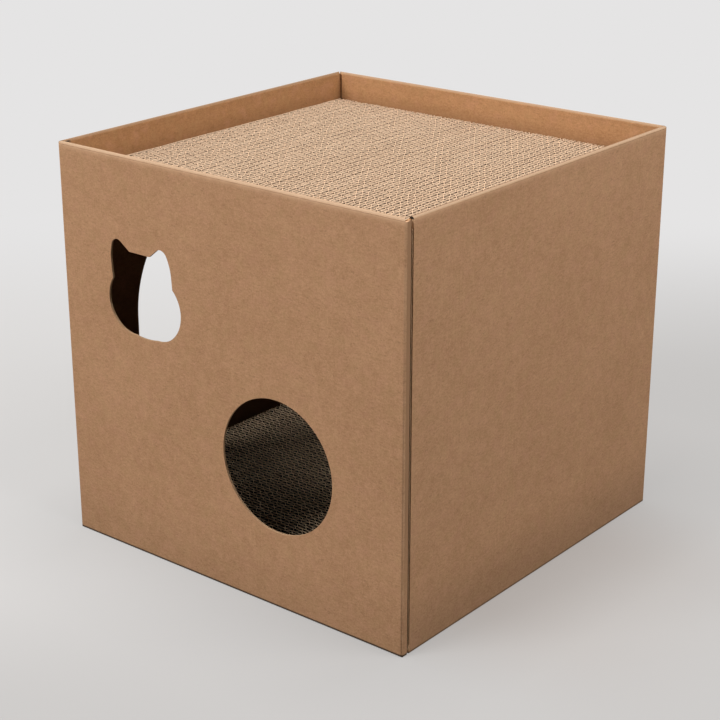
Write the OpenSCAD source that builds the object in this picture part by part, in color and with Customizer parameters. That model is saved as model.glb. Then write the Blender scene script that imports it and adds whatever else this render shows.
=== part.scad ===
// Cardboard cat condo: a wrapped board sleeve with a rolled rim, an inner liner that
// carries a shelf, and two scratching pads of corrugated strips set on edge.
// The front, with the round hole and the window, faces -Y. The door is in the left wall.

/* [House] */
// Width across the front
house_w = 300; // [265:5:360]
// Depth from front to back
house_d = 300; // [265:5:360]
// Height from the floor to the top of the rim
house_h = 291; // [283:1:360]

/* [Board] */
// Thickness of the corrugated board
board = 1.6; // [1.2:0.1:2]
// Gap between boards that lie side by side
slip = 0.3; // [0.2:0.1:0.6]
// Outer radius of the upright creases
crease_r = 2; // [1:0.2:4]
// Outer radius of the crease along the foot of each wall
foot_r = 1; // [0.4:0.2:1.2]
// How far the front board turns round the front right corner
corner_return = 4.8; // [4.2:0.2:9]
// Open slit where the sleeve closes, at the front right corner
seam_gap = 2.4; // [1:0.2:4]
// Width of the glued flap behind the slit
glue_flap_w = 30; // [18:1:50]
// Gap between the base flaps where they meet
flap_gap = 1; // [0.5:0.5:6]

/* [Rim] */
// How far the rolled bands reach down past the top edge of the liner
band_lap = 4; // [1:0.5:8]
// Gap between the rolled rims at each corner
rim_gap = 1; // [0.5:0.5:3]
// Gap between the bands inside each corner
band_gap = 1.8; // [1:0.2:5]

/* [Round hole] */
// Diameter of the round hole
hole_d = 94.8; // [70:0.2:104]
// Distance of its centre from the middle of the front
hole_x = 45; // [36:0.5:52]
// Height of its centre
hole_z = 103.3; // [94:0.1:107]

/* [Window] */
// Distance of the window's middle from the middle of the front
window_x = -72; // [-77:0.1:-69]
// Board left in the liner over the window
window_head = 4.6; // [2:0.1:34]
// Radius of each cheek
cheek_r = 23.2; // [21:0.1:25]
// Distance between the centres of the cheeks
cheek_spread = 21.9; // [17:0.1:26]
// Drop of the cheeks' centres below the window's middle
cheek_drop = 9; // [7:0.5:10.5]
// Radius of the chin
chin_r = 51.5; // [43:0.5:68]
// Drop of the chin below the window's middle
chin_drop = 33.2; // [32.6:0.1:35]
// Width of the head just above the cheeks
head_w = 57; // [54:0.5:62]
// Height of the crown between the ears above the window's middle
crown_rise = 26.7; // [22.5:0.1:28]
// Radius of the outer side of each ear
ear_side_r = 34; // [26:1:48]
// Height of the ear tips above the window's middle
ear_rise = 33.5; // [31:0.1:34.2]
// Distance between the ear tips
ear_spread = 40.8; // [35:0.1:44]
// Radius of each ear tip
ear_r = 5.8; // [2.6:0.1:6.5]
// Width of the crown between the ears
crown_w = 19; // [12:0.5:22]
// How far the ears lean to the left
ear_lean = 3.5; // [0:0.1:5]

/* [Door] */
// Width of the arched door
door_w = 168; // [130:1:180]
// Height of the sill
door_sill = 52; // [39:1:68]
// Board left in the liner over the arch
door_head = 5; // [2:0.5:34]
// Radius of the door's lower corners
door_corner_r = 10; // [4:1:26]

/* [Liner] */
// How much larger the liner's cut-outs are, all round
liner_margin = 5; // [2.5:0.5:5]

/* [Pads] */
// Depth of the upper pad below the rim
pad_recess = 21; // [9:0.5:22]
// Thickness of both pads
pad_t = 27; // [22:1:28]
// Gap between a pad and the boards around it
pad_gap = 0.8; // [0.5:0.1:3]
// Thickness of one strip, cut from double wall board
strip_t = 6.8; // [5.8:0.1:8]
// Thickness of its coarse layer, over the flutes
coarse_t = 3.4; // [3:0.1:3.6]
// Thickness of the flat sheet of each layer
sheet_t = 0.7; // [0.4:0.1:1]
// Gap between neighbouring layers
layer_gap = 0.3; // [0.2:0.1:0.5]
// Distance from flute to flute in the coarse layer
coarse_pitch = 7.8; // [7:0.1:9]
// Distance from flute to flute in the fine layer
fine_pitch = 6.6; // [6:0.1:7]
// How far the coarse flutes move on from strip to strip, as a share of their pitch
coarse_step = 0.26; // [0:0.01:1]
// How far the fine flutes move on from strip to strip, as a share of their pitch
fine_step = 0.46; // [0:0.01:1]

/* [Hidden] */
$fn = 96;
arc_steps = 8;

outer_kraft = "#b0875f";
inner_kraft = "#a67c53";
pad_kraft = "#d3b08c";

half_w = house_w / 2;
half_d = house_d / 2;
rim_r = board + slip / 2;
wall_top = house_h - rim_r;
band_inset = board + slip;
liner_inset = 2 * (board + slip);
floor_top = 2 * board;
pad_top = house_h - pad_recess;
shelf_top = pad_top - pad_t;
liner_top = shelf_top - board;
band_low = liner_top - band_lap;
window_z = liner_top - window_head - liner_margin - ear_rise;
door_spring = liner_top - door_head - liner_margin - door_w / 2;
tray_inset = band_inset + board;
cavity_inset = liner_inset + board;
mitre_reach = cavity_inset + board;

// Half the length of a side, and the distance from the middle of the house to its face:
// 0 is the front, 1 the right, 2 the back and 3 the left
function across(side) = side % 2 == 0 ? half_w : half_d;
function reach(side) = side % 2 == 0 ? half_d : half_w;

// Turns a shape drawn for the front to another side
module on_side(side) {
    rotate(90 * side)
        children();
}

// A board that stands along the front, from one end to the other, drawn in by inset
module standing_board(ends, inset, low, high) {
    translate([-ends, inset, low])
        cube([2 * ends, board, high - low]);
}

// Rectangle of the house with its outside drawn in by inset, with round corners
module round_plan(inset, r) {
    x = half_w - inset - r;
    y = half_d - inset - r;
    square([2 * x, 2 * (y + r)], center = true);
    square([2 * (x + r), 2 * y], center = true);
    for (sx = [-1, 1], sy = [-1, 1])
        translate([sx * x, sy * y])
            circle(r);
}

// Ring of board, folded round four upright creases
module board_ring(inset) {
    difference() {
        round_plan(inset, crease_r);
        square([house_w, house_d] - 2 * (inset + board) * [1, 1], center = true);
    }
}

// Share of a ring that belongs to one side: cut on the corner diagonals, less a gap
module side_share(side, gap) {
    a = across(side) - gap / sqrt(2);
    r = reach(side);
    on_side(side)
        polygon([[-a, -r], [a, -r], [a - mitre_reach, mitre_reach - r], [mitre_reach - a, mitre_reach - r]]);
}

// Place of the front right corner, where the front board turns and the slit follows it
module corner_strip(length) {
    translate([half_w - board, -half_d])
        square([board, length]);
}

// Rounds the foot of the sleeve along all four sides
module foot_creases() {
    for (side = [0 : 3])
        on_side(side)
            translate([0, -reach(side), 0])
                rotate([90, 0, 90])
                    linear_extrude(2 * across(side) + 2, center = true)
                        difference() {
                            translate([-1, -1])
                                square(foot_r + 1);
                            translate([foot_r, foot_r])
                                circle(foot_r);
                        }
}

// One wall of the sleeve: its share of the ring is the child shape
module wall() {
    difference() {
        linear_extrude(wall_top)
            intersection() {
                board_ring(0);
                children();
            }
        foot_creases();
    }
}

// One panel of the liner, standing on the base flaps
module liner_panel(side) {
    translate([0, 0, floor_top])
        linear_extrude(liner_top - floor_top)
            intersection() {
                board_ring(liner_inset);
                side_share(side, 0);
            }
}

// Cuts a drawing of the front through the board that lies at inset
module front_cut(x, z, inset) {
    translate([x, inset + board / 2 - half_d, z])
        rotate([90, 0, 0])
            linear_extrude(2 * board, center = true)
                children();
}

// Cuts a drawing of the left side through the board that lies at inset
module left_cut(z, inset) {
    translate([inset + board / 2 - half_w, 0, z])
        rotate([90, 0, 90])
            linear_extrude(2 * board, center = true)
                children();
}

// A point of the head, moved sideways by the lean of the ears
function leaned(x, y) = [x - ear_lean * (y + cheek_drop) / (ear_rise + cheek_drop), y];

// Point where a line from p touches a circle, on the left (1) or the right (-1) of it
function touch(p, c, r, hand) =
    let (d = norm(c - p), turn = atan2(c.y - p.y, c.x - p.x) + hand * asin(r / d))
    p + sqrt(d * d - r * r) * [cos(turn), sin(turn)];

// Points of an arc from one angle to another, less those before the first
function arc(c, r, from, to, first) =
    [for (i = [first : arc_steps]) let (a = from + (to - from) * i / arc_steps) c + r * [cos(a), sin(a)]];

// Half of the head: from the crown, over the tip of the ear and down its outer side to the cheek
function ear_half() =
    let (reach = (head_w - ear_spread) / 2, r = min(ear_r, reach - 0.5))
    let (c = [ear_spread / 2, ear_rise - r], crown = [crown_w / 2, crown_rise])
    let (drop = sqrt((reach - r) * (2 * ear_side_r - r - reach)), turn = atan2(drop, ear_side_r - reach))
    let (start = touch(crown, c, r, 1) - c, hub = c + [reach - ear_side_r, -drop])
    concat(
        [crown],
        arc(c, r, atan2(start.y, start.x), turn, 0),
        arc(hub, ear_side_r, turn, 0, 1),
        [[head_w / 2, -cheek_drop]]
    );

// Outline of an animal's head: two cheeks, a chin and two ears
module window_outline() {
    half = ear_half();
    for (s = [-1, 1])
        translate([s * cheek_spread / 2, -cheek_drop])
            circle(cheek_r);
    intersection() {
        translate([0, chin_r - chin_drop])
            circle(chin_r);
        translate([-cheek_spread / 2, -chin_drop])
            square([cheek_spread, chin_drop]);
    }
    polygon(concat(
        [for (p = half) leaned(p.x, p.y)],
        [for (i = [len(half) - 1 : -1 : 0]) leaned(-half[i].x, half[i].y)]
    ));
}

// Plain relief in the liner behind the window
module window_relief() {
    w = cheek_spread + 2 * (cheek_r + liner_margin);
    translate([-w / 2, -chin_drop - liner_margin])
        square([w, chin_drop + ear_rise + 2 * liner_margin]);
}

// Arched doorway over its sill, larger by grow all round
module door_outline(grow) {
    half = door_w / 2 + grow;
    r = door_corner_r + grow;
    low = -grow;
    spring = door_spring - door_sill;
    translate([0, spring])
        circle(half);
    translate([-half, low + r])
        square([2 * half, spring - low - r]);
    translate([r - half, low])
        square([2 * (half - r), r]);
    for (s = [-1, 1])
        translate([s * (half - r), low + r])
            circle(r);
}

// Band rolled over the top of one wall: a half round rim and the board that hangs inside it
module rim_band(side, ends) {
    intersection() {
        on_side(side)
            translate([0, rim_r - reach(side), wall_top])
                rotate([90, 0, 90])
                    linear_extrude(2 * across(side), center = true)
                        intersection() {
                            circle(rim_r);
                            translate([-rim_r, 0])
                                square([2 * rim_r, rim_r]);
                        }
        linear_extrude(house_h)
            intersection() {
                round_plan(0, crease_r);
                side_share(side, rim_gap);
            }
    }
    on_side(side)
        standing_board(ends, band_inset - reach(side), band_low, wall_top);
}

// Base flap from one wall to the middle of the floor
module base_flap(side, low) {
    on_side(side)
        translate([board + slip - across(side), board - reach(side), low])
            cube([2 * (across(side) - board - slip), reach(side) - board - flap_gap / 2, board]);
}

// One layer of a strip, set on edge: a flat sheet with a row of flutes on one face
module layer(thick, run, pitch, phase) {
    flutes = floor(run / pitch) - 1;
    start = phase * pitch;
    linear_extrude(pad_t)
        polygon(concat(
            [[0, run], [0, 0], [sheet_t, 0]],
            [for (k = [0 : flutes - 1], rise = [0, 1])
                [sheet_t + rise * (thick - sheet_t), start + (k + rise / 2) * pitch]],
            [[sheet_t, start + flutes * pitch], [sheet_t, run]]
        ));
}

// Strips side by side across a pad, each a coarse and a fine layer with its flutes at another place
module strip_pad(span, run) {
    count = round(span / strip_t);
    pitch = (span + layer_gap) / count;
    for (i = [1 : count])
        translate([(i - 1) * pitch - span / 2, -run / 2, 0]) {
            layer(coarse_t, run, coarse_pitch, (i * coarse_step) % 1);
            translate([coarse_t + layer_gap, 0, 0])
                layer(pitch - coarse_t - 2 * layer_gap, run, fine_pitch, (i * fine_step) % 1);
        }
}

module front_wall() {
    color(outer_kraft)
        difference() {
            wall() {
                side_share(0, 0);
                corner_strip(corner_return);
            }
            front_cut(hole_x, hole_z, 0)
                circle(d = hole_d);
            front_cut(window_x, window_z, 0)
                window_outline();
        }
}

module right_wall() {
    color(outer_kraft)
        wall()
            difference() {
                side_share(1, 0);
                corner_strip(corner_return + seam_gap);
            }
}

module back_wall() {
    color(outer_kraft)
        wall()
            side_share(2, 0);
}

module left_wall() {
    color(outer_kraft)
        difference() {
            wall()
                side_share(3, 0);
            left_cut(door_sill, 0)
                door_outline(0);
        }
}

module glue_flap() {
    color(inner_kraft)
        translate([half_w - band_inset - board, board - half_d, floor_top])
            cube([board, glue_flap_w, band_low - slip - floor_top]);
}

module front_rim_band() {
    color(outer_kraft)
        rim_band(0, half_w - tray_inset - band_gap);
}

module right_rim_band() {
    color(outer_kraft)
        difference() {
            rim_band(1, half_d - band_inset);
            translate([half_w - 2 * rim_r, -half_d, wall_top])
                cube([2 * rim_r, corner_return + seam_gap, rim_r]);
        }
}

module back_rim_band() {
    color(outer_kraft)
        rim_band(2, half_w - tray_inset - band_gap);
}

module left_rim_band() {
    color(outer_kraft)
        rim_band(3, half_d - band_inset);
}

module liner_front() {
    color(inner_kraft)
        difference() {
            liner_panel(0);
            front_cut(hole_x, hole_z, liner_inset)
                circle(d = hole_d + 2 * liner_margin);
            front_cut(window_x, window_z, liner_inset)
                window_relief();
        }
}

module liner_right() {
    color(inner_kraft)
        liner_panel(1);
}

module liner_back() {
    color(inner_kraft)
        liner_panel(2);
}

module liner_left() {
    color(inner_kraft)
        difference() {
            liner_panel(3);
            left_cut(door_sill, liner_inset)
                door_outline(liner_margin);
        }
}

module shelf_board() {
    size = [house_w, house_d] - 2 * (tray_inset + pad_gap) * [1, 1];
    color(inner_kraft)
        translate([0, 0, liner_top])
            linear_extrude(board)
                square(size, center = true);
}

module front_base_flap() {
    color(outer_kraft)
        base_flap(0, 0);
}

module back_base_flap() {
    color(outer_kraft)
        base_flap(2, 0);
}

module left_base_flap() {
    color(inner_kraft)
        base_flap(3, board);
}

module right_base_flap() {
    color(inner_kraft)
        base_flap(1, board);
}

module upper_scratch_pad() {
    color(pad_kraft)
        translate([0, 0, shelf_top])
            strip_pad(house_w - 2 * (tray_inset + pad_gap), house_d - 2 * (tray_inset + pad_gap));
}

module lower_scratch_pad() {
    color(pad_kraft)
        translate([0, 0, floor_top])
            rotate(90)
                strip_pad(house_d - 2 * (cavity_inset + pad_gap), house_w - 2 * (cavity_inset + pad_gap));
}

front_wall();
right_wall();
back_wall();
left_wall();
glue_flap();
front_rim_band();
right_rim_band();
back_rim_band();
left_rim_band();
liner_front();
liner_right();
liner_back();
liner_left();
shelf_board();
front_base_flap();
back_base_flap();
left_base_flap();
right_base_flap();
upper_scratch_pad();
lower_scratch_pad();
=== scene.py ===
import math

import bmesh
import bpy
import numpy as np
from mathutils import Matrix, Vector


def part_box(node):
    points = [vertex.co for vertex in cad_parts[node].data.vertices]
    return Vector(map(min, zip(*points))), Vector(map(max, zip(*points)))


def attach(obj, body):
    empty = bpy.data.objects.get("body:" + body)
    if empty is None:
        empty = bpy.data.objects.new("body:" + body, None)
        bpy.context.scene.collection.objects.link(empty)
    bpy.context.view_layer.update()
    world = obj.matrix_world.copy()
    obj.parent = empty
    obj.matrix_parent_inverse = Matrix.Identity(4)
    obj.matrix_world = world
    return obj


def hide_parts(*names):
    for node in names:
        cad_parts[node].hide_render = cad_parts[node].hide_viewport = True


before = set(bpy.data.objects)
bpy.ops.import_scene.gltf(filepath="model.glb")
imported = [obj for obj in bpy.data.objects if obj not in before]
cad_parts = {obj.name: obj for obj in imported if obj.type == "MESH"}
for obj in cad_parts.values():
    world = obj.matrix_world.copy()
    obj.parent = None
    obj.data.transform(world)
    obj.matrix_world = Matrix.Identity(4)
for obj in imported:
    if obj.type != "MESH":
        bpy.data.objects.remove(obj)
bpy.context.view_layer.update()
scene = bpy.context.scene
scene.view_settings.view_transform = "Standard"
mm = 0.001
axes = "xyz"
middle = 0.5   # of a noise, and of the tones that it moves


# shader maths: an expression on wires adds its Math nodes

class Wire:
    def __init__(self, tree, socket):
        self.tree = tree
        self.socket = socket

    @classmethod
    def node(cls, tree, kind, settings=None, sockets=None, out=0):
        made = tree.nodes.new(kind)
        for name, value in (settings or {}).items():
            setattr(made, name, value)
        for name, value in (sockets or {}).items():
            if isinstance(value, cls):
                tree.links.new(value.socket, made.inputs[name])
            else:
                made.inputs[name].default_value = value
        return cls(tree, made.outputs[out] if made.outputs else None)

    def maths(self, operation, other=0.0, reflected=False):
        pair = (other, self) if reflected else (self, other)
        return Wire.node(self.tree, "ShaderNodeMath", {"operation": operation}, dict(enumerate(pair)))

    def __add__(self, other):
        return self.maths("ADD", other)

    def __sub__(self, other):
        return self.maths("SUBTRACT", other)

    def __rsub__(self, other):
        return self.maths("SUBTRACT", other, reflected=True)

    def __mul__(self, other):
        return self.maths("MULTIPLY", other)

    def __truediv__(self, other):
        return self.maths("DIVIDE", other)

    def __rtruediv__(self, other):
        return self.maths("DIVIDE", other, reflected=True)

    def __abs__(self):
        return self.maths("ABSOLUTE")

    __radd__ = __add__
    __rmul__ = __mul__

    def clamped(self):
        return self.maths("MAXIMUM", 0.0).maths("MINIMUM", 1.0)


def smooth(value, low, high, start=0.0, end=1.0):
    ends = {"From Min": low, "From Max": high, "To Min": start, "To Max": end}
    return Wire.node(value.tree, "ShaderNodeMapRange", {"interpolation_type": "SMOOTHSTEP"},
                     {"Value": value, **ends})


mixSockets = dict(factor=0, first=6, second=7, result=2)   # where a Mix node has its colours


def mixColour(factor, first, second):
    return Wire.node(factor.tree, "ShaderNodeMix", {"data_type": "RGBA"},
                     {mixSockets["factor"]: factor, mixSockets["first"]: first,
                      mixSockets["second"]: second}, mixSockets["result"])


def part(vector, axis):
    return Wire.node(vector.tree, "ShaderNodeSeparateXYZ", None, {"Vector": vector}, axis.upper())


def position(tree):
    spot = Wire.node(tree, "ShaderNodeTexCoord", out="Object")
    return [part(spot, axis) for axis in axes]


def facing(tree, axis):
    return part(Wire.node(tree, "ShaderNodeNewGeometry", out="True Normal"), axis)


def noise(spots, grain):
    scales = np.broadcast_to(grain["scale"], len(axes)).tolist()
    vector = Wire.node(spots[0].tree, "ShaderNodeCombineXYZ", None,
                       {k: spot * scale for k, (spot, scale) in enumerate(zip(spots, scales))})
    return Wire.node(vector.tree, "ShaderNodeTexNoise", None,
                     {"Vector": vector, "Scale": 1.0, "Detail": grain["detail"],
                      "Roughness": grain["roughness"]})


def newMaterial(name):
    material = bpy.data.materials.new(name)
    material.use_nodes = True
    tree = material.node_tree
    tree.nodes.clear()
    return material, tree


def finishMaterial(tree, shader):
    Wire.node(tree, "ShaderNodeOutputMaterial", None, {"Surface": shader})


def finishPaper(tree, paper, height, cloud, surface):
    relief = Wire.node(tree, "ShaderNodeBump", None,
                       {"Strength": surface["bump"], "Distance": surface["relief"], "Height": height})
    rough = surface["rough"] - cloud * surface["sheen"]
    finishMaterial(tree, Wire.node(tree, "ShaderNodeBsdfPrincipled", None,
                                   {"Base Color": paper, "Roughness": rough, "Normal": relief,
                                    "Specular IOR Level": surface["specular"]}))


def srgb(red, green, blue):
    # a screen colour, 0 to 255, as a shader takes it
    def linear(value):
        share = value / 255
        return share / 12.92 if share <= 0.04045 else ((share + 0.055) / 1.055) ** 2.4
    return (linear(red), linear(green), linear(blue), 1.0)


def dimmed(colour, share):
    return tuple(share * value for value in colour[:3]) + (1.0,)


# camera at the photograph's place

photoView = dict(
    place=(0.7477, -0.9279, 0.5793),
    target=(0.0333, -0.0492, 0.1457),
    lens=87.96,   # mm
    sensor=36,    # mm
)


def aimAt(piece, place, target):
    piece.location = place
    sight = Vector(target) - piece.location
    piece.rotation_euler = sight.to_track_quat("-Z", "Y").to_euler()
    scene.collection.objects.link(piece)


def makeCamera(view):
    camera = bpy.data.objects.new("photoCamera", bpy.data.cameras.new("photoCamera"))
    camera.data.lens = view["lens"]
    camera.data.sensor_width = view["sensor"]
    aimAt(camera, view["place"], view["target"])
    scene.camera = camera


makeCamera(photoView)
print("camera ready")


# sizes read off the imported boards

frontLow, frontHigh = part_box("front_wall")
backLow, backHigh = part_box("back_wall")
halfWide, halfDeep = frontHigh.x, -frontLow.y
wallTop = frontHigh.z
boardThick = backHigh.y - backLow.y
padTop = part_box("upper_scratch_pad")[1].z


# backdrop

studio = dict(
    backdrop=srgb(229, 228, 228),
    light=srgb(255, 255, 255),
    ambient=0.09,
)


def seenDirectly(tree):
    names = ("Is Camera Ray", "Is Glossy Ray", "Is Transmission Ray")
    camera, glossy, clear = (Wire.node(tree, "ShaderNodeLightPath", out=name) for name in names)
    return (camera + glossy + clear).maths("MINIMUM", 1.0)


def makeWorld(plan):
    world = bpy.data.worlds.new("studioWorld")
    world.use_nodes = True
    tree = world.node_tree
    tree.nodes.clear()
    light = Wire.node(tree, "ShaderNodeBackground", None,
                      {"Color": plan["light"], "Strength": plan["ambient"]})
    shown = Wire.node(tree, "ShaderNodeBackground", None, {"Color": plan["backdrop"], "Strength": 1.0})
    both = Wire.node(tree, "ShaderNodeMixShader", None, {0: seenDirectly(tree), 1: light, 2: shown})
    Wire.node(tree, "ShaderNodeOutputWorld", None, {"Surface": both})
    scene.world = world


# floor; each span is where a change starts and ends, in metres

ground = dict(
    radius=9.0,
    segments=96,
    paint=srgb(168, 166, 165),
    grain=dict(scale=60, detail=3, roughness=0.5),
    grainTone=0.985,
    roughness=0.85,
    specular=0.2,
    bounce=srgb(92, 91, 90),           # what the floor throws back at the house
    shadeBounce=srgb(58, 57, 56),      # the same on the right, where it lies in shade
    shadeSpan=(0.1, 0.2),
    glowShare=0.6,                     # near the house the floor partly glows, painted light that evens it out as in a light tent
    # painted light falloff: the glow is lighter on the left and darker on the right and towards the front
    glowLeft=srgb(226, 224, 222),
    glowRight=srgb(199, 197, 195),
    glowSlant=0.5,
    glowSpan=(-0.35, 0.15),
    glowFront=srgb(196, 194, 192),
    frontSpan=(-0.12, -0.36),
    glowPaintedShadow=srgb(184, 176, 170),    # painted shadow next to the right wall
    paintedShadowStart=(-0.01, 0.0),
    paintedShadowSpan=(0.19, 0.0),
    paintedShadowEnds=(0.02, -0.1),
    viewSlant=0.8,                     # the photograph looks at the house from the right
    fadeSpan=(0.25, 1.0),              # into the backdrop, behind the house in that view
    ringSpan=(0.9, 2.4),               # and all round it
)


def floorPaint(tree, plan):
    spots = position(tree)
    dim = dimmed(plan["paint"], plan["grainTone"])
    paint = mixColour(noise(spots, plan["grain"]), dim, plan["paint"])
    bounce = mixColour(smooth(spots[0], *plan["shadeSpan"]), plan["bounce"], plan["shadeBounce"])
    return Wire.node(tree, "ShaderNodeBsdfPrincipled", None,
                     {"Base Color": mixColour(seenDirectly(tree), bounce, paint),
                      "Roughness": plan["roughness"], "Specular IOR Level": plan["specular"]})


def floorGlow(tree, plan):
    x, y = position(tree)[:2]
    behind = y - plan["viewSlant"] * x
    # painted light falloff: lighter on the left, darker on the right and towards the front
    turn = smooth(x + plan["glowSlant"] * y, *plan["glowSpan"])
    glow = mixColour(turn, plan["glowLeft"], plan["glowRight"])
    glow = mixColour(smooth(behind, *plan["frontSpan"]), glow, plan["glowFront"])
    # painted shadow next to the right wall
    off = x - halfWide
    paintedShadow = smooth(off, *plan["paintedShadowStart"]) * smooth(off, *plan["paintedShadowSpan"])
    paintedShadow = paintedShadow * smooth(abs(y) - halfDeep, *plan["paintedShadowEnds"])
    glow = mixColour(paintedShadow, glow, plan["glowPaintedShadow"])
    ring = smooth((x * x + y * y).maths("SQRT"), *plan["ringSpan"])
    fade = ring.maths("MAXIMUM", smooth(behind, *plan["fadeSpan"]))
    shown = Wire.node(tree, "ShaderNodeEmission", None,
                      {"Color": mixColour(fade, glow, studio["backdrop"]), "Strength": 1.0})
    return shown, fade * (1 - plan["glowShare"]) + plan["glowShare"]


def makeFloor(plan):
    material, tree = newMaterial("paleFloor")
    paint = floorPaint(tree, plan)
    glow, share = floorGlow(tree, plan)
    finishMaterial(tree, Wire.node(tree, "ShaderNodeMixShader", None,
                                   {0: share * seenDirectly(tree), 1: paint, 2: glow}))
    shape = bmesh.new()
    bmesh.ops.create_circle(shape, cap_ends=True, segments=plan["segments"], radius=plan["radius"])
    mesh = bpy.data.meshes.new("floor")
    shape.to_mesh(mesh)
    shape.free()
    mesh.materials.append(material)
    floor = bpy.data.objects.new("floor", mesh)
    scene.collection.objects.link(floor)


# lamps

lamps = dict(
    overhead=dict(place=(-0.02, -0.1, 2.0), aim=(-0.02, 0, 0.3), size=(0.6, 1.2), watts=29),
    front=dict(place=(-0.65, -1.8, 1.6), aim=(0, 0, 0.2), size=(1.0, 1.0), watts=38.5),
    right=dict(place=(1.25, 0.2, 1.7), aim=(0, 0, 0.2), size=(1.2, 1.2), watts=33),
    left=dict(place=(-1.8, 0, 0.65), aim=(0, 0, 0.15), size=(1.2, 1.2), watts=10),
    back=dict(place=(0.2, 1.8, 0.5), aim=(0, 0, 0.15), size=(1.2, 1.2), watts=6),
)


def makeLamps(plan):
    for name, lamp in plan.items():
        light = bpy.data.lights.new(name, "AREA")
        light.shape = "RECTANGLE"
        light.size, light.size_y = lamp["size"]
        light.energy = lamp["watts"]
        aimAt(bpy.data.objects.new(name, light), lamp["place"], lamp["aim"])


makeWorld(studio)
makeFloor(ground)
makeLamps(lamps)
print("studio ready")


# kraft paper; x is for the front and back, y for the sides

kraft = dict(
    dark=srgb(172, 128, 92),
    light=srgb(198, 152, 114),
    # painted shade: the side bands (y) get darker tones than the front and back bands (x)
    bandDark=dict(x=srgb(168, 122, 81), y=srgb(151, 108, 69)),
    bandLight=dict(x=srgb(193, 145, 102), y=srgb(174, 127, 85)),
    bandShade=dict(span=(padTop + 12 * mm, padTop), share=0.32, colour=srgb(110, 74, 45)),
    innerDark=srgb(140, 101, 69),
    innerLight=srgb(164, 123, 87),
    innerShade=dict(span=(190 * mm, 70 * mm), share=0.9, colour=srgb(86, 62, 41)),
    seamShadeDark=srgb(70, 50, 33),          # the flap behind the slit, painted dark as shade
    seamShadeLight=srgb(86, 63, 44),
    grain=dict(                         # scales run across, up and through the board
        fibre=dict(scale=(320, 540, 320), detail=4, roughness=0.65, share=1.7),
        grit=dict(scale=900, detail=1, roughness=0.5, share=1.4),
        mottle=dict(scale=150, detail=3, roughness=0.6, share=1.1),
        cloud=dict(scale=16, detail=3, roughness=0.5, share=0.5),
    ),
    flutePitch=3.3 * mm,
    streak=dict(                        # the flutes, faintly, through the paper
        scale=(30, 3, 30), detail=2, roughness=0.5, span=(0.45, 0.7), share=0.05,
    ),
    hue=dict(scale=105, detail=2, roughness=0.5),
    tints=dict(
        pink=dict(span=(0.5, 0.72), share=0.17, colour=srgb(200, 146, 118)),
        olive=dict(span=(0.5, 0.28), share=0.17, colour=srgb(176, 142, 96)),
    ),
    speck=dict(scale=(330, 760, 330), detail=1, roughness=0.5, span=(0.66, 0.74), share=0.3, tone=0.55),
    height=dict(fibre=0.5, mottle=0.3, streak=0.12),
    surface=dict(bump=0.35, relief=0.25 * mm, rough=0.86, sheen=0.16, specular=0.28),
)


def plainPaper(turned, dark, light):
    grain = {name: noise(turned, each) for name, each in kraft["grain"].items()}
    streak, hue, speck = (noise(turned, kraft[name]) for name in ("streak", "hue", "speck"))
    ridge = (turned[0] * (2 * math.pi / kraft["flutePitch"])).maths("SINE")
    grain["streak"] = ridge * smooth(streak, *kraft["streak"]["span"])
    tone = grain["streak"] * kraft["streak"]["share"] + middle
    for name, each in kraft["grain"].items():
        tone = tone + (grain[name] - middle) * each["share"]
    paper = mixColour(tone.clamped(), dark, light)
    for tint in kraft["tints"].values():
        paper = mixColour(smooth(hue, *tint["span"], 0.0, tint["share"]), paper, tint["colour"])
    specks = smooth(speck, *kraft["speck"]["span"]) * kraft["speck"]["share"]
    return mixColour(specks, paper, dimmed(dark, kraft["speck"]["tone"])), grain


# wear, painted highlight and painted shade along the edges of the boards; lengths are from the wall's top,
# faces or foot

edges = dict(
    outside=(-2.2 * mm, -0.4 * mm),     # which faces count as the outer ones
    # wear at the upright creases; along the rim it is also a painted highlight, stronger on the front and
    # back faces
    wearAndHighlight=srgb(219, 175, 137),
    wearAndHighlightDepths=(4 * mm, 1.4 * mm),      # how far the wear and painted highlight along the rim reach down
    wearAndHighlightShare=dict(x=1.0, y=0.6),
    wornPatches=(0.3, 0.7, 0.75, 1.0),
    crease=(0.984, 0.999),              # scuffs at the upright corners, as shares of the width
    scuff=dict(scale=90, detail=3, roughness=0.5, span=(0.3, 0.75), share=0.55),
    rolled=(0.0, 1.3 * mm, 0.0, 0.9),   # painted shade on the rolled edge, on its inner and outer side, darker inside the side bands
    rolledInside=dict(x=srgb(146, 118, 92), y=srgb(122, 94, 69)),
    rolledOutside=srgb(158, 132, 107),
    # painted shade, in the slit and in the corner under the rim
    slit=srgb(46, 33, 21),
    slitFacing=(-0.85, -0.97),          # board ends that are turned to the slit, given its painted shade
    nookShade=dict(left=(4.0 * mm, 3.3 * mm), front=(10 * mm, 7 * mm),   # painted shade in the corner under the rim
              low=(-5 * mm, -3 * mm), high=(1.4 * mm, 0.9 * mm)),
    strip=dict(right=(-1.0 * mm, -0.3 * mm), near=(1.0 * mm, 1.8 * mm), far=(5.4 * mm, 5.0 * mm),
               rise=(30 * mm, 110 * mm, 0.3, 1.0), colour=srgb(160, 121, 88)),   # painted shade on the turned strip next to the slit, lighter low down
    # painted shade at the foot: the darkening towards the floor and a contact shadow line
    foot=srgb(52, 40, 27),
    footLine=(2.3 * mm, 1.2 * mm),
    footShare=dict(x=0.95, y=0.6),
    duskShade=(54 * mm, 0.0),                # painted shade: the walls darken towards the floor
    duskShare=dict(x=0.09, y=0.28),
)


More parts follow.
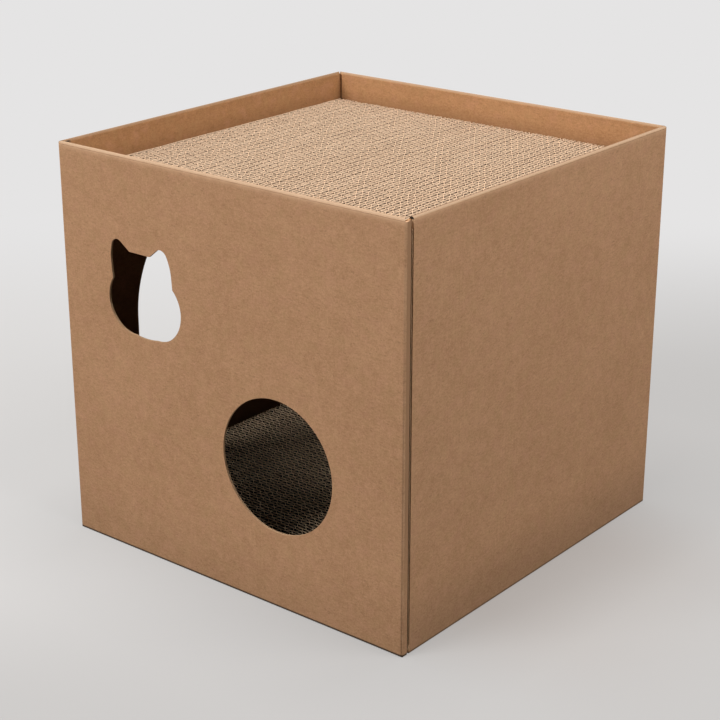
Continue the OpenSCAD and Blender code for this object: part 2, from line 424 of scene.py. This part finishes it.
def rimWearAndPaintedLight(paper, turned, spots, outside, across, mottle):
    wide, deep = abs(spots[0]) / halfWide, abs(spots[1]) / halfDeep
    crease = smooth(wide.maths("MINIMUM", deep), *edges["crease"])
    scuff = smooth(noise(turned, edges["scuff"]), *edges["scuff"]["span"], 0.0, edges["scuff"]["share"])
    paper = mixColour(crease * scuff, paper, edges["wearAndHighlight"])
    # wear and painted highlight along the top of the walls
    above = spots[2] - wallTop
    rimWearAndHighlight = sum(smooth(above, -depth, 0.0) for depth in edges["wearAndHighlightDepths"]) / len(edges["wearAndHighlightDepths"])
    rimWearAndHighlight = rimWearAndHighlight * outside * edges["wearAndHighlightShare"][across] * smooth(mottle, *edges["wornPatches"])
    paper = mixColour(rimWearAndHighlight, paper, edges["wearAndHighlight"])
    # painted shade on the rolled edge
    rolled = mixColour(outside, edges["rolledInside"][across], edges["rolledOutside"])
    return mixColour(smooth(above, *edges["rolled"]), paper, rolled)


def cornerAndFootShade(paper, spots, outside, across):
    x, y, z = spots
    nookShade, strip = edges["nookShade"], edges["strip"]
    fromFront, above = y + halfDeep, z - wallTop
    # painted shade in the corner under the rim
    notchShade = (1 - outside) * smooth(x + halfWide, *nookShade["left"]) * smooth(fromFront, *nookShade["front"])
    notchShade = notchShade * smooth(above, *nookShade["low"]) * smooth(above, *nookShade["high"])
    paper = mixColour(notchShade, paper, edges["slit"])
    # painted shade on the turned strip next to the slit, lighter low down
    turnShade = smooth(x - halfWide, *strip["right"]) * smooth(z, *strip["rise"])
    turnShade = turnShade * smooth(fromFront, *strip["near"]) * smooth(fromFront, *strip["far"])
    paper = mixColour(turnShade, paper, strip["colour"])
    # painted shade: darker towards the floor, and a painted contact shadow along the foot
    for span, share in (("duskShade", "duskShare"), ("footLine", "footShare")):
        dark = outside * smooth(z, *edges[span], 0.0, edges[share][across])
        paper = mixColour(dark, paper, edges["foot"])
    return paper


def kraftPaper(name, across, up, dark, light, shade=None):
    material, tree = newMaterial(name)
    spots = position(tree)
    (through,) = set(axes) - {across, up}
    turned = [spots[axes.index(axis)] for axis in (across, up, through)]
    paper, grain = plainPaper(turned, dark, light)
    if shade:
        paper = mixColour(smooth(spots[2], *shade["span"], 0.0, shade["share"]), paper, shade["colour"])
    outer = (abs(spots[0]) - halfWide).maths("MAXIMUM", abs(spots[1]) - halfDeep)
    outside = smooth(outer, *edges["outside"])
    paper = rimWearAndPaintedLight(paper, turned, spots, outside, across, grain["mottle"])
    paper = cornerAndFootShade(paper, spots, outside, across)
    # painted shade on the board ends that face the slit
    if (across, up) == ("y", "z"):
        paper = mixColour(smooth(facing(tree, "y"), *edges["slitFacing"]), paper, edges["slit"])
    height = sum(grain[kind] * share for kind, share in kraft["height"].items())
    finishPaper(tree, paper, height, grain["cloud"], kraft["surface"])
    return material


# cut edges of the boards

cutEdge = dict(
    dark=srgb(178, 140, 104),
    light=srgb(216, 180, 142),
    fuzz=dict(scale=900, detail=3, roughness=0.7, share=0.6),
    cloud=dict(scale=120, detail=2, roughness=0.5, share=0.4),
    surface=dict(bump=0.5, relief=0.2 * mm, rough=0.92, sheen=0.1, specular=0.2),
)


def cutPaper(name):
    material, tree = newMaterial(name)
    spots = position(tree)
    fuzz, cloud = noise(spots, cutEdge["fuzz"]), noise(spots, cutEdge["cloud"])
    tone = fuzz * cutEdge["fuzz"]["share"] + cloud * cutEdge["cloud"]["share"]
    finishPaper(tree, mixColour(tone, cutEdge["dark"], cutEdge["light"]), fuzz, cloud, cutEdge["surface"])
    return material


innerTones = (kraft["innerDark"], kraft["innerLight"], kraft["innerShade"])
outerFinish, bandFinish, innerFinish, flatFinish = {}, {}, {}, {}
for across, other in ("xy", "yx"):
    ending = across.upper()
    outerFinish[across] = kraftPaper("kraftOuter" + ending, across, "z", kraft["dark"], kraft["light"])
    bandFinish[across] = kraftPaper("kraftBand" + ending, across, "z", kraft["bandDark"][across],
                                    kraft["bandLight"][across], kraft["bandShade"])
    innerFinish[across] = kraftPaper("kraftInner" + ending, across, "z", *innerTones)
    flatFinish[across] = kraftPaper("kraftFlat" + ending, across, other, *innerTones)
baseFinish = kraftPaper("kraftBase", "x", "y", kraft["dark"], kraft["light"])
seamShadeFinish = kraftPaper("kraftSeamShade", "y", "z", kraft["seamShadeDark"], kraft["seamShadeLight"])
edgeFinish = cutPaper("kraftCutEdge")
print("kraft ready")


# corrugated boards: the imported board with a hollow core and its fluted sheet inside

core = dict(
    facing=0.28 * mm,       # each flat sheet
    flutedSheet=0.2 * mm,
    steps=8,                # columns to a flute
    leastFlutes=2,
    lap=0.02 * mm,          # how far the crests bed into the facings
    rimStop=6 * mm,         # solid border along the creases
    endRun=2 * mm,          # how far a core runs past an open end
    weld=0.002 * mm,
    edgeTilt=0.5,           # a face turned further from the flat of the board is an edge
    endTilt=0.9,
    sharpAngle=32,          # degrees
)


def newPiece(name, mesh, materials=()):
    piece = bpy.data.objects.new(name, mesh)
    for material in materials:
        mesh.materials.append(material)
    scene.collection.objects.link(piece)
    return piece


def dropPiece(piece):
    mesh = piece.data
    bpy.data.objects.remove(piece)
    bpy.data.meshes.remove(mesh)


def cutWith(piece, tool, operation):
    step = piece.modifiers.new("cut", "BOOLEAN")
    step.operation = operation
    step.solver = "EXACT"
    step.object = tool
    made = bpy.data.meshes.new_from_object(piece.evaluated_get(bpy.context.evaluated_depsgraph_get()))
    piece.modifiers.clear()
    old = piece.data
    piece.data = made
    bpy.data.meshes.remove(old)


def ribbon(line, thick, low, high):
    # a thin sheet that stands along a line: a ring of corners to a point, closed at both ends
    line = np.asarray(line, float)
    slope = np.gradient(line, axis=0)
    slope /= np.linalg.norm(slope, axis=1)[:, None]
    aside = np.c_[-slope[:, 1], slope[:, 0]] * thick / 2
    low, high = (np.broadcast_to(np.asarray(end, float), len(line)) for end in (low, high))
    ring = [np.c_[line + aside, high], np.c_[line - aside, high],
            np.c_[line - aside, low], np.c_[line + aside, low]]
    size = len(ring)
    corners = np.stack(ring, axis=1).reshape(-1, len(axes))
    first = size * np.arange(len(line) - 1)[:, None, None]
    rounds = np.array([[k, (k + 1) % size, (k + 1) % size + size, k + size] for k in range(size)])
    faces = (first + rounds[None]).reshape(-1, size)
    ends = np.array([np.arange(size)[::-1], size * (len(line) - 1) + np.arange(size)])
    return corners, np.r_[faces, ends]


def meshOf(name, corners, faces, materialIndex=0):
    mesh = bpy.data.meshes.new(name)
    mesh.from_pydata(corners.tolist(), [], faces.tolist())
    shape = bmesh.new()
    shape.from_mesh(mesh)
    bmesh.ops.recalc_face_normals(shape, faces=shape.faces)
    for face in shape.faces:
        face.material_index = materialIndex
    shape.to_mesh(mesh)
    shape.free()
    return mesh


def markEdges(mesh, span, flute, depth, openEnds):
    shape = bmesh.new()
    shape.from_mesh(mesh)
    bmesh.ops.remove_doubles(shape, verts=shape.verts, dist=core["weld"])
    d, f = axes.index(depth), axes.index(flute)
    for face in shape.faces:
        centre = face.calc_center_median()
        within = all(span[axis][0] < centre[k] < span[axis][1]
                     for k, axis in enumerate(axes) if axis != depth)
        opened = any(face.normal[f] * (1 if end else -1) > core["endTilt"] for end in openEnds)
        face.material_index = int(abs(face.normal[d]) < core["edgeTilt"] and (within or opened))
    shape.to_mesh(mesh)
    shape.free()


def coreBlock(hollow, materials):
    block = bmesh.new()
    bmesh.ops.create_cube(block, size=1.0)
    for corner in block.verts:
        corner.co = [hollow[axis][int(corner.co[k] > 0)] for k, axis in enumerate(axes)]
    for face in block.faces:
        face.material_index = 1
    mesh = bpy.data.meshes.new("core")
    block.to_mesh(mesh)
    block.free()
    return newPiece("core", mesh, materials)


def flutedSheet(span, ends, across, flute, depth, materials):
    start, stop = span[across]
    count = max(core["leastFlutes"], round((stop - start) / kraft["flutePitch"])) * core["steps"]
    run = np.linspace(start, stop, count + 1)
    reach = (span[depth][1] - span[depth][0] - core["flutedSheet"]) / 2 + core["lap"]
    wave = sum(span[depth]) / 2 + reach * np.cos(2 * math.pi * np.arange(count + 1) / core["steps"])
    corners, faces = ribbon(np.c_[run, wave], core["flutedSheet"], *ends)
    order = [(across, depth, flute).index(axis) for axis in axes]
    return newPiece("sheet", meshOf("sheet", corners[:, order], faces, 1), materials)


def corrugate(node, body, across, flute, depth, finish, ranges, openEnds=(), cutOuts=False):
    lows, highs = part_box(node)
    span = {axis: list(ranges.get(axis, (lows[k], highs[k]))) for k, axis in enumerate(axes)}
    span[depth] = [span[depth][0] + core["facing"], span[depth][1] - core["facing"]]
    hollow = {axis: list(span[axis]) for axis in axes}
    for end in openEnds:
        hollow[flute][end] += core["endRun"] * (1 if end else -1)
    materials = [finish, edgeFinish]

    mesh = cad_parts[node].data.copy()
    mesh.materials.clear()
    board = newPiece(node + "_board", mesh, materials)
    markEdges(mesh, span, flute, depth, openEnds)
    solid = newPiece("solid", mesh.copy())
    block = coreBlock(hollow, materials)
    cutWith(board, block, "DIFFERENCE")
    ends = hollow[flute] if cutOuts else span[flute]
    sheet = flutedSheet(span, ends, across, flute, depth, materials)
    if cutOuts:
        cutWith(sheet, solid, "INTERSECT")
    whole = bmesh.new()
    for piece in (board, sheet):
        whole.from_mesh(piece.data)
    whole.to_mesh(board.data)
    whole.free()
    for spare in (block, solid, sheet):
        dropPiece(spare)
    board.data.shade_smooth()
    board.data.set_sharp_from_angle(angle=math.radians(core["sharpAngle"]))
    board.modifiers.new("flatFaces", "WEIGHTED_NORMAL").keep_sharp = True
    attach(board, body)
    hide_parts(node)


sides = dict(front=("y", -1), right=("x", 1), back=("y", 1), left=("x", -1))
withCutOuts = ("front", "left")


def outward(sign, near, far):
    return tuple(sorted((sign * near, sign * far)))


def inset(node, axis):
    low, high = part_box(node)
    k = axes.index(axis)
    return {axis: (low[k] + core["rimStop"], high[k] - core["rimStop"])}


for side, (depth, sign) in sides.items():
    across, face, wide = ("x", halfDeep, halfWide) if depth == "y" else ("y", halfWide, halfDeep)
    stop = core["rimStop"]
    cutOuts = side in withCutOuts
    corrugate(side + "_wall", "house", across, "z", depth, outerFinish[across],
              {depth: outward(sign, face - boardThick, face), across: (stop - wide, wide - stop),
               "z": (stop, wallTop - stop)}, cutOuts=cutOuts)
    low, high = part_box(side + "_rim_band")
    k = axes.index(depth)
    inner = min(abs(low[k]), abs(high[k]))
    corrugate(side + "_rim_band", "house", across, "z", depth, bandFinish[across],
              {depth: outward(sign, inner, inner + boardThick), across: (stop - wide, wide - stop),
               "z": (low.z, wallTop - 2 * boardThick)}, openEnds=(0,))
    liner = "liner_" + side
    corrugate(liner, "house", across, "z", depth, innerFinish[across],
              inset(liner, across), openEnds=(0, 1), cutOuts=cutOuts)
    flap = side + "_base_flap"
    finish = baseFinish if depth == "y" else flatFinish[across]
    corrugate(flap, "house", across, depth, "z", finish, inset(flap, across), openEnds=(0, 1))
print("walls ready")
low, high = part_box("glue_flap")
corrugate("glue_flap", "house", "y", "z", "x", seamShadeFinish,
          {"y": (low.y + 2 * boardThick, high.y - boardThick)}, openEnds=(0, 1))
corrugate("shelf_board", "shelf", "x", "y", "z", flatFinish["x"],
          inset("shelf_board", "x"), openEnds=(0, 1))
print("boards ready")


# scratching pads: strips of corrugated board on edge

pad = dict(
    strip=6.8 * mm,            # double wall board
    coarseShare=0.55,          # share of a strip that its coarse layer takes
    flutes=(7.8 * mm, 6.6 * mm),
    fluteSteps=(0.26, 0.46),   # share of a flute by which each strip moves on
    steps=6,                   # columns to a flute
    bayStrips=2,               # a flat sheet bends once in so many strips' thickness
    wobble=0.1 * mm,           # how far it bends
    ragged=0.35 * mm,          # how unevenly the blade left the top edges
    raggedEvery=dict(flat=1, fluted=2),   # columns from one height to the next
    drift=0.14,                # share of a flute by which a layer may stray
    sharpAngle=50,             # degrees
    seed=11,
    upper=dict(
        dark=srgb(208, 176, 146),
        light=srgb(240, 212, 183),
        edge=srgb(204, 172, 142),        # painted shade on the rough cut edges that face up
        hollow=srgb(68, 49, 33),         # painted shade deep in the flutes
        hollowShadeDepths=(0.12 * mm, 1.2 * mm),
        sheets=(0.5 * mm, 0.32 * mm),    # flat and fluted
    ),
    lower=dict(
        dark=srgb(208, 176, 140),
        light=srgb(238, 208, 172),
        # painted highlight on the cut edges that face up
        edge=srgb(246, 216, 178),
        # painted shade deep in the flutes, near black
        hollow=srgb(10, 7, 4),
        hollowShadeDepths=(0.0, 0.3 * mm),
        sheets=(0.38 * mm, 0.28 * mm),
    ),
    fibre=dict(scale=(500, 500, 140), detail=3, roughness=0.6, share=0.8),
    cloud=dict(scale=26, detail=2, roughness=0.5, share=0.6),
    layerShare=0.35,           # how much the tone varies from strip to strip
    sideDepth=(0.3 * mm, 1.2 * mm),
    cutFacing=(0.6, 0.9),
    surface=dict(bump=0.4, relief=0.2 * mm, rough=0.94, sheen=0.12, specular=0.2),
)


def padPaper(name, stack, low, high, tones):
    material, tree = newMaterial(name)
    spots = position(tree)
    k = axes.index(stack)
    layer = (spots[k] / pad["strip"]).maths("FLOOR")
    shade = Wire.node(tree, "ShaderNodeTexWhiteNoise", {"noise_dimensions": "1D"}, {"W": layer})
    fibre = noise((spots[k], spots[1 - k], spots[2]), pad["fibre"])
    cloud = noise(spots, pad["cloud"])
    tone = (shade - middle) * pad["layerShare"] + (fibre - middle) * pad["fibre"]["share"]
    tone = tone + (cloud - middle) * pad["cloud"]["share"] + middle
    paper = mixColour(tone.clamped(), tones["dark"], tones["light"])
    # painted shade deep in the flutes, fading out near the pad's sides
    deep = smooth(high.z - spots[2], *tones["hollowShadeDepths"]) * smooth(spots[2] - low.z, *tones["hollowShadeDepths"])
    for spot, start, stop in zip(spots[:2], low, high):
        deep = deep * smooth((stop - start) / 2 - abs(spot - (start + stop) / 2), *pad["sideDepth"])
    paper = mixColour(deep, paper, tones["hollow"])
    # the cut tops that face up: painted shade on the upper pad, painted highlight on the lower
    paper = mixColour(smooth(facing(tree, "z"), *pad["cutFacing"]), paper, tones["edge"])
    finishPaper(tree, paper, fibre, cloud, pad["surface"])
    return material


def stripPad(node, body, stack, tones):
    low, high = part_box(node)
    k = axes.index(stack)
    span, run = high[k] - low[k], high[1 - k] - low[1 - k]
    flatSheet, fluted = tones["sheets"]
    count = round(span / pad["strip"])
    pitch = (span - flatSheet) / count
    dice = np.random.RandomState(pad["seed"] + k)
    corners, faces = [], []

    def stand(line, thick, every):
        knots = dice.uniform(0, pad["ragged"], len(line) // every + 2)
        tops = high.z - np.interp(np.arange(len(line)) / every, np.arange(len(knots)), knots)
        made, rounds = ribbon(line, thick, low.z, tops)
        faces.append(rounds + sum(len(earlier) for earlier in corners))
        corners.append(made)

    bays = int(run / pad["strip"] / pad["bayStrips"])
    flat = np.linspace(0, run, bays + 1)
    for i in range(count + 1):
        place = low[k] + flatSheet / 2 + i * pitch
        for j, share in enumerate((pad["coarseShare"], 1 - pad["coarseShare"])):
            deep = share * pitch
            bend = np.r_[0, dice.uniform(-1, 1, bays - 1), 0] * pad["wobble"] * (0 < i < count)
            stand(np.c_[place + bend, low[1 - k] + flat], flatSheet, pad["raggedEvery"]["flat"])
            if i == count:
                break
            fine = np.linspace(fluted, run - fluted, int(run / pad["flutes"][j] * pad["steps"]) + 1)
            reach = (deep - flatSheet - fluted) / 2
            phase = (i + 1) * pad["fluteSteps"][j] + dice.uniform(-1, 1) * pad["drift"]
            turn = 2 * math.pi * (fine / pad["flutes"][j] + phase)
            wave = place + deep / 2 + reach * np.cos(turn) + np.interp(fine, flat, bend)
            stand(np.c_[wave, low[1 - k] + fine], fluted, pad["raggedEvery"]["fluted"])
            place += deep
    corners, faces = np.concatenate(corners), np.concatenate(faces)
    mesh = meshOf(node + "_strips", corners[:, [k, 1 - k, 2]], faces)
    piece = newPiece(node + "_strips", mesh, [padPaper(node + "Paper", stack, low, high, tones)])
    mesh.shade_smooth()
    mesh.set_sharp_from_angle(angle=math.radians(pad["sharpAngle"]))
    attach(piece, body)
    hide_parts(node)
    print(node, len(mesh.polygons), "faces")


stripPad("upper_scratch_pad", "upper_pad", "x", pad["upper"])
stripPad("lower_scratch_pad", "lower_pad", "y", pad["lower"])
print("pads ready")
